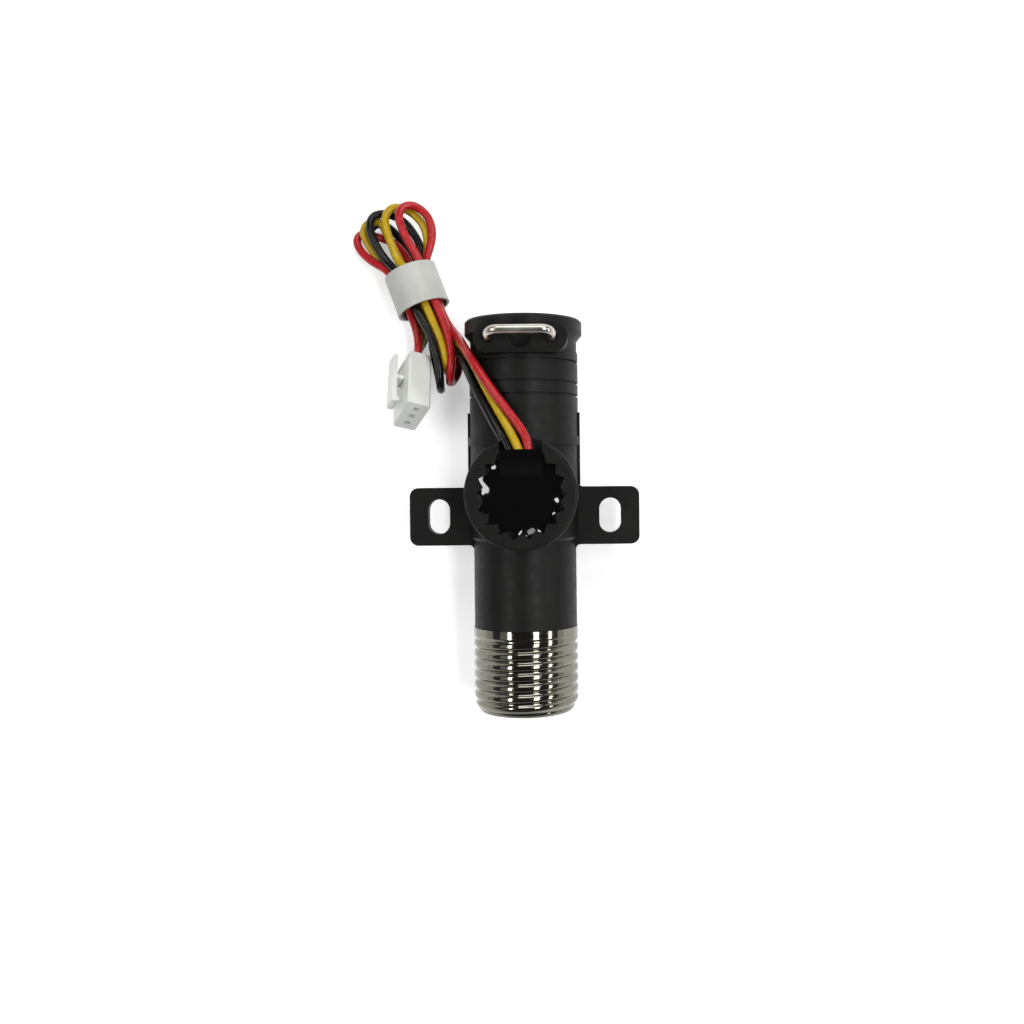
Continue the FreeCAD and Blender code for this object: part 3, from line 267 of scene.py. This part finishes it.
def make_inlet():
    """The plated inlet with its thread cut, its moulded in end and its water way."""
    angles = [2 * math.pi * i / INLET_SIDES for i in range(INLET_SIDES)]
    places = [SHOULDER * i / INLET_STEPS for i in range(INLET_STEPS + 1)]
    points = [inlet_point(thread_radius(place, angle), place, angle) for place in places for angle in angles]
    points += [inlet_point(radius, place, angle) for radius, place in SPIGOT for angle in angles]
    rings = rows_of(len(points), INLET_SIDES)
    faces = []
    for here, there in zip(rings, rings[1:] + rings[:1]):
        faces += band(here, there)
    inlet = new_mesh("inlet", points, faces, "plated_brass", INLET_CRISP)
    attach(inlet, "sensor")
    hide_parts("inlet_thread")


make_inlet()


# The potting in the port

PORT_PLACE = 43.35
POTTING_LEVEL = 12.1
POTTING_FLOOR = 11.9
POTTING_CRISP = 60
WELL_RADIUS = 7.46
NOTCHES = 18

# Direction, from the notch's middle, and radius of each point on the resin's edge in a notch
NOTCH_EDGE = ((-0.16, WELL_RADIUS), (-0.12, 7.75), (-0.06, 8.22), (0, 8.68), (0.06, 8.22), (0.12, 7.75),
              (0.16, WELL_RADIUS))

# Distance from the edge of each ring of the surface, and where the rings stop following the notches
RING_INSETS = (0.0, 0.2, 0.4, 0.6, 0.8, 1.0, 1.3, 1.6, 2.0, 2.5, 3.2, 4.5)
NOTCH_INSET = 1.6

# Places from the port's middle where the resin is drawn up the wall, with the rise and the spread of each
SWELLS = ((-8.55, 0.75, 0.72, 1.55), (8.1, -1.25, 0.68, 1.35), (1.5, -8.4, 1.0, 1.25),
          (-8.7, 3.5, 0.38, 0.8), (-6.1, 5.1, 0.41, 0.7), (5.5, -4.2, 0.45, 0.7), (6.8, -5.9, 0.45, 0.7))

# The tongue round the wires: its sides, its places along the tube, and how it climbs the wall of the port
TONGUE_SIDES = (-4.05, 0, 4.05)
TONGUE_PLACES = (45.4, 46.2, 47.0, 48.0, 49.0, 50.0, 50.6, 51.8)
TONGUE_CLIMB = 5.2
TONGUE_RISE = 2.1
TONGUE_SINK = 0.1
TONGUE_FLOOR = 11.6


def potting_edge():
    """Direction and radius of each point on the resin's edge, which runs into the notches of the well."""
    middles = [2 * math.pi * i / NOTCHES for i in range(NOTCHES)]
    return [(middle + off, radius) for middle in middles for off, radius in NOTCH_EDGE]


def potting_height(x, y):
    """Height of the resin at a place from the port's middle."""
    return POTTING_LEVEL + sum(rise * math.exp(-((x - u) ** 2 + (y - v) ** 2) / (2 * spread ** 2))
                               for u, v, rise, spread in SWELLS)


def pool_shell():
    """Points and faces of the resin in the well."""
    edge = potting_edge()
    points = []
    for inset in RING_INSETS:
        for angle, radius in edge:
            reach = (radius if inset < NOTCH_INSET else WELL_RADIUS) - inset
            x, y = reach * math.cos(angle), reach * math.sin(angle)
            points.append((x, PORT_PLACE + y, potting_height(x, y)))
    rings = rows_of(len(points), len(edge))
    faces = []
    for here, there in zip(rings, rings[1:]):
        faces += band(here, there)
    centre = len(points)
    points.append((0, PORT_PLACE, POTTING_LEVEL))
    inner = rings[-1]
    faces += [(here, there, centre) for here, there in zip(inner, inner[1:] + inner[:1])]
    under = list(range(len(points), len(points) + len(edge)))
    points += [(points[number][0], points[number][1], POTTING_FLOOR) for number in rings[0]]
    faces += band(under, rings[0])
    faces.append(tuple(reversed(under)))
    return points, faces


def tongue_shell():
    """Points and faces of the resin's tongue, which climbs the wall of the port to the wires."""
    points = []
    for place in TONGUE_PLACES:
        climb = min(max((place - TONGUE_PLACES[0]) / TONGUE_CLIMB, 0.0), 1.0)
        climb = climb * climb * (3 - 2 * climb)
        points += [(side, place, POTTING_LEVEL - TONGUE_SINK + TONGUE_RISE * climb) for side in TONGUE_SIDES]
    width = len(TONGUE_SIDES)
    rows = rows_of(len(points), width)
    faces = []
    for here, there in zip(rows, rows[1:]):
        faces += [(here[i], here[i + 1], there[i + 1], there[i]) for i in range(width - 1)]
    right = [row[-1] for row in rows[1:-1]]
    left = [row[0] for row in rows[-2:0:-1]]
    rim = rows[0] + right + rows[-1][::-1] + left
    under = list(range(len(points), len(points) + len(rim)))
    points += [(points[number][0], points[number][1], TONGUE_FLOOR) for number in rim]
    faces += band(under, rim)
    faces.append(tuple(reversed(under)))
    return points, faces


def make_potting():
    """The black resin that closes the port, drawn up the wall in places, and its tongue round the wires."""
    points, faces = pool_shell()
    tongue_points, tongue_faces = tongue_shell()
    start = len(points)
    points += tongue_points
    faces += [tuple(start + number for number in face) for face in tongue_faces]
    potting = new_mesh("potting_fill", points, faces, "potting_resin", POTTING_CRISP)
    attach(potting, "sensor")
    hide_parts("potting")


make_potting()


# The wires, tied in a hank

HANK_MIDDLE = (-22.1, 85.4, -4.85)
HANK_TURN = math.radians(20.5)
HANK_TILT = math.radians(-6)
HANK_PLACE = (Matrix.Translation(HANK_MIDDLE) @ Matrix.Rotation(HANK_TURN, 4, "Z")
              @ Matrix.Rotation(HANK_TILT, 4, "X"))
WIRE_DIAMETER = 1.7

# For each wire: from the port to the hank, round the hank (across, along and above it), and on to the plug
WIRES = {
    "red": (
        [(1.55, 51.2, 13.1), (1.25, 53.24, 13.4), (0.4, 55.29, 13.4), (-2.47, 59.21, 12.8),
         (-5.74, 63.52, 11.7), (-8.61, 67.9, 10.2), (-10.37, 70.68, 8.2), (-11.91, 73.11, 4.7),
         (-13.15, 75.1, 0.1), (-14.54, 76.6, -2.4), (-15.95, 78.67, -3.0), (-17.23, 81.51, -3.18)],
        [(3.7, 5.0, 0.6), (5.4, 7.0, 0.6), (7.0, 9.2, 0.9), (7.8, 11.9, 1.5), (7.3, 14.5, 2.1),
         (5.6, 16.5, 2.7), (3.6, 16.7, 3.2), (2.1, 15.35, 3.3), (1.75, 12.6, 3.0), (2.1, 9.4, 2.8),
         (2.6, 6.8, 2.8), (2.8, 4.4, 2.9), (2.7, 0.0, 3.0), (2.85, -4.4, 3.0), (3.1, -8.5, 2.9),
         (2.9, -12.5, 2.7), (2.25, -15.9, 2.65), (1.1, -18.5, 2.5), (0.05, -20.05, 1.3),
         (-0.4, -20.55, -0.75), (0.45, -19.85, -2.6), (2.1, -18.1, -3.1), (2.5, -15.9, -2.9),
         (1.75, -12.5, -1.7), (1.5, -9.0, -0.1), (1.3, -4.4, 0.4), (0.9, 0.0, -0.3), (0.8, 4.4, 0.5),
         (0.45, 7.0, -0.8), (-0.1, 9.8, -1.7), (-1.2, 12.5, -2.7), (-3.6, 14.9, -3.6), (-5.6, 16.4, -3.4),
         (-6.9, 16.9, -3.0), (-8.0, 16.4, -2.6), (-8.55, 15.1, -2.2), (-8.35, 13.2, -1.8),
         (-7.6, 11.3, -1.4), (-6.5, 9.2, -0.6), (-4.7, 7.0, 0.1), (-3.7, 4.6, 0.6), (-3.4, 0.0, 1.2)],
        [(-24.0, 82.2, -2.9), (-23.3, 80.1, -4.5), (-22.5, 77.6, -5.6), (-22.05, 74.95, -5.85),
         (-22.16, 72.33, -5.25), (-22.04, 70.04, -3.82)],
    ),
    "yellow": (
        [(-0.25, 51.2, 13.1), (-1.03, 53.27, 13.2), (-2.13, 55.41, 12.9), (-4.39, 59.43, 11.3),
         (-6.77, 63.8, 9.8), (-8.83, 67.88, 7.95), (-10.38, 70.5, 5.75), (-12.17, 73.1, 1.1),
         (-13.5, 74.3, -3.1), (-15.25, 77.2, -4.9), (-17.2, 81.2, -4.9)],
        [(3.4, 4.6, -1.3), (4.5, 7.0, -1.0), (5.8, 9.6, -0.5), (6.1, 12.5, 0.1), (5.3, 15.0, 0.6),
         (3.7, 17.0, 1.1), (1.7, 18.05, 1.5), (-0.15, 17.35, 1.6), (-1.2, 15.6, 1.6), (-1.5, 12.5, 1.5),
         (-1.5, 9.5, 1.5), (-1.4, 6.7, 1.8), (-0.4, 4.4, 2.7), (0.5, 0.0, 3.0), (0.85, -4.4, 3.0),
         (1.0, -8.0, 2.7), (1.15, -12.0, 2.2), (0.8, -14.8, 2.1), (0.4, -16.8, 1.9), (0.1, -18.2, 0.5),
         (-0.05, -18.2, -1.4), (-0.1, -16.8, -2.9), (0.0, -14.8, -3.0), (0.1, -12.5, -2.3),
         (-0.15, -9.0, -0.6), (-0.6, -4.4, 0.7), (-0.5, 0.0, 1.2), (-1.0, 4.4, 0.9), (-1.05, 7.0, 0.1),
         (-1.45, 9.8, -0.2), (-1.75, 13.0, -0.2), (-1.85, 16.05, -0.3), (-3.15, 17.5, -0.35),
         (-5.05, 17.5, -0.4), (-6.4, 16.1, -0.55), (-6.3, 13.9, -1.0), (-5.85, 11.7, -1.4),
         (-5.3, 9.5, -1.7), (-4.6, 7.0, -1.7), (-3.6, 4.4, -1.4)],
        [(-22.0, 81.35, -5.15), (-21.45, 78.95, -6.6), (-21.4, 76.5, -7.7), (-22.3, 73.8, -7.9),
         (-23.36, 71.12, -7.08), (-23.23, 68.83, -5.66)],
    ),
    "black": (
        [(-2.1, 51.2, 13.1), (-2.99, 53.24, 13.1), (-4.39, 55.38, 12.6), (-6.69, 59.59, 10.5),
         (-9.09, 64.11, 7.7), (-10.71, 67.53, 5.0), (-12.23, 70.56, 1.3), (-13.2, 72.7, -3.1),
         (-14.4, 75.3, -5.9), (-16.23, 77.8, -6.6), (-17.65, 80.92, -6.96)],
        [(2.4, 4.4, -2.8), (3.4, 6.8, -2.3), (3.85, 9.6, -1.8), (3.4, 12.6, -1.2), (2.5, 15.2, -0.7),
         (0.9, 17.1, -0.4), (-1.2, 18.2, 0.3), (-3.2, 17.8, 1.4), (-4.5, 15.9, 1.7), (-4.7, 13.1, 1.5),
         (-4.3, 10.1, 1.3), (-3.5, 7.3, 1.3), (-2.3, 4.4, 2.3), (-1.7, 0.0, 2.7), (-1.25, -4.4, 3.0),
         (-0.65, -8.2, 3.3), (-0.35, -11.8, 3.2), (-0.6, -15.2, 3.0), (-1.1, -18.0, 2.9),
         (-2.0, -20.3, 2.2), (-2.6, -21.4, 0.1), (-2.7, -20.6, -2.3), (-2.5, -18.4, -3.7),
         (-2.2, -16.0, -4.0), (-1.7, -13.0, -3.6), (-0.7, -9.0, -2.5), (0.3, -4.4, -1.5), (0.5, 0.0, -2.2),
         (1.1, 4.4, -1.5), (1.3, 7.2, -2.6), (1.0, 10.2, -3.4), (0.1, 13.6, -3.3), (-0.95, 15.8, -2.7),
         (-2.25, 17.2, -2.05), (-4.05, 17.2, -1.75), (-5.35, 15.9, -1.85), (-5.3, 13.7, -2.5),
         (-4.7, 11.3, -3.0), (-3.5, 8.0, -3.2), (-1.9, 4.4, -3.0)],
        [(-21.52, 80.14, -7.73), (-20.92, 77.68, -8.8), (-21.5, 75.6, -9.8), (-22.8, 73.6, -10.0),
         (-24.2, 71.8, -9.75), (-24.55, 69.9, -8.92), (-24.42, 67.62, -7.49)],
    ),
}


def make_wire(colour):
    """One wire of the harness, from the potting to its contact in the plug."""
    leads, turns, tail = WIRES[colour]
    points = leads + [HANK_PLACE @ Vector(p) for p in turns] + tail
    curve = bpy.data.curves.new(f"{colour}_wire", "CURVE")
    curve.dimensions = "3D"
    spline = curve.splines.new("NURBS")
    spline.points.add(len(points) - 1)
    for control, point in zip(spline.points, points):
        control.co = (*(Vector(point) * MM), 1)
    spline.order_u = 3
    spline.use_endpoint_u = True
    spline.resolution_u = 10
    curve.bevel_depth = WIRE_DIAMETER / 2 * MM
    curve.bevel_resolution = 5
    curve.use_fill_caps = True
    curve.materials.append(FINISHES[f"{colour}_sheath"].material)
    wire = bpy.data.objects.new(f"{colour}_wire", curve)
    bpy.context.collection.objects.link(wire)
    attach(wire, "sensor")
    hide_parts(f"wire_{colour}", f"tail_{colour}")
    return wire


red_wire = make_wire("red")
make_wire("yellow")
make_wire("black")
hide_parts("wire_hank")


# Floor, light and camera, in metres

WHITE = (1, 1, 1, 1)
FLOOR_HEIGHT = -10.9 * MM
FLOOR_REACH = 3.0
FLOOR_COLOUR = (0.82, 0.82, 0.82, 1)
FLOOR_ROUGHNESS = 0.9
FLOOR_GLOW = 0.45

# The background by the upward part of the direction: a dim sky, and white above the horizon
SKY_TOP = 0.9
SKY_LOW_LIGHT = 0.16
SKY_TOP_LIGHT = 0.05
WHITE_TOP = 0.2
WHITE_END = 0.28

LIT_PLACE = Vector((0, 0.02, 0))

CAMERA_PLACE = (0.01038, 0.0459, 0.205)
CAMERA_TURN = -0.01047
CAMERA_SENSOR = 36.0
CAMERA_LENS = 35.63
CAMERA_SHIFT = (-0.0625, -0.03125)
CAMERA_NEAREST = 0.01


def background_rays(tree):
    """1 where the camera, a mirror or glass looks at the background, and 0 for its light on the part."""
    path = tree.nodes.new("ShaderNodeLightPath")
    rays = path.outputs["Is Camera Ray"]
    for name in ("Is Glossy Ray", "Is Transmission Ray"):
        rays = combine(tree, "MAXIMUM", rays, path.outputs[name])
    return rays


def make_floor():
    """A plain pale floor that keeps the part's shadow."""
    mesh = bpy.data.meshes.new("floor")
    sides = ((-1, -1), (1, -1), (1, 1), (-1, 1))
    corners = [(x * FLOOR_REACH, y * FLOOR_REACH, FLOOR_HEIGHT) for x, y in sides]
    mesh.from_pydata(corners, [], [(0, 1, 2, 3)])
    floor = bpy.data.objects.new("floor", mesh)
    bpy.context.collection.objects.link(floor)
    material = bpy.data.materials.new("floor")
    material.use_nodes = True
    tree = material.node_tree
    shader = tree.nodes["Principled BSDF"]
    shader.inputs["Base Color"].default_value = FLOOR_COLOUR
    shader.inputs["Roughness"].default_value = FLOOR_ROUGHNESS
    shader.inputs["Emission Color"].default_value = WHITE
    glow = map_range(tree, background_rays(tree), 0, 1, 0, FLOOR_GLOW)
    tree.links.new(glow, shader.inputs["Emission Strength"])
    mesh.materials.append(material)


def make_world():
    """A dim sky that lights the part, and a white background low down that only shows."""
    world = bpy.data.worlds.new("studio")
    bpy.context.scene.world = world
    world.use_nodes = True
    tree = world.node_tree
    back = tree.nodes["Background"]
    back.inputs["Color"].default_value = WHITE
    split = tree.nodes.new("ShaderNodeSeparateXYZ")
    tree.links.new(tree.nodes.new("ShaderNodeTexCoord").outputs["Generated"], split.inputs["Vector"])
    upward = split.outputs["Z"]
    sky = map_range(tree, upward, 0, SKY_TOP, SKY_LOW_LIGHT, SKY_TOP_LIGHT)
    white = map_range(tree, upward, WHITE_TOP, WHITE_END, 1, 0)
    shown = combine(tree, "MULTIPLY", white, background_rays(tree))
    tree.links.new(combine(tree, "MAXIMUM", sky, shown), back.inputs["Strength"])


def make_light(name, way, distance, size, power):
    """A softbox that looks at the part's middle from a given direction."""
    data = bpy.data.lights.new(name, "AREA")
    data.shape = "RECTANGLE"
    data.size, data.size_y = size
    data.energy = power
    lamp = bpy.data.objects.new(name, data)
    way = Vector(way).normalized()
    lamp.location = LIT_PLACE + way * distance
    lamp.rotation_mode = "QUATERNION"
    lamp.rotation_quaternion = (-way).to_track_quat("-Z", "Y")
    bpy.context.collection.objects.link(lamp)


def make_camera():
    """The camera, straight above the part."""
    data = bpy.data.cameras.new("camera")
    data.sensor_width = CAMERA_SENSOR
    data.lens = CAMERA_LENS
    data.shift_x, data.shift_y = CAMERA_SHIFT
    data.clip_start = CAMERA_NEAREST
    camera = bpy.data.objects.new("camera", data)
    camera.location = CAMERA_PLACE
    camera.rotation_euler = (0, 0, CAMERA_TURN)
    bpy.context.collection.objects.link(camera)
    bpy.context.scene.camera = camera


make_floor()
make_world()
make_light("right_strip", way=(0.41, 0.0, 0.91), distance=0.75, size=(0.60, 0.14), power=2.9)
make_light("left_strip", way=(-0.555, 0.0, 0.83), distance=0.75, size=(0.60, 0.10), power=2.3)
make_light("side_strip", way=(0.83, 0.0, 0.56), distance=0.75, size=(0.60, 0.09), power=1.5)
make_light("left_panel", way=(-0.735, 0.0, 0.678), distance=0.75, size=(0.60, 0.23), power=0.18)
make_light("top_fill", way=(0.1, 0.75, 0.65), distance=0.9, size=(0.7, 0.4), power=3.4)
make_camera()

bpy.context.scene.view_settings.view_transform = "Standard"
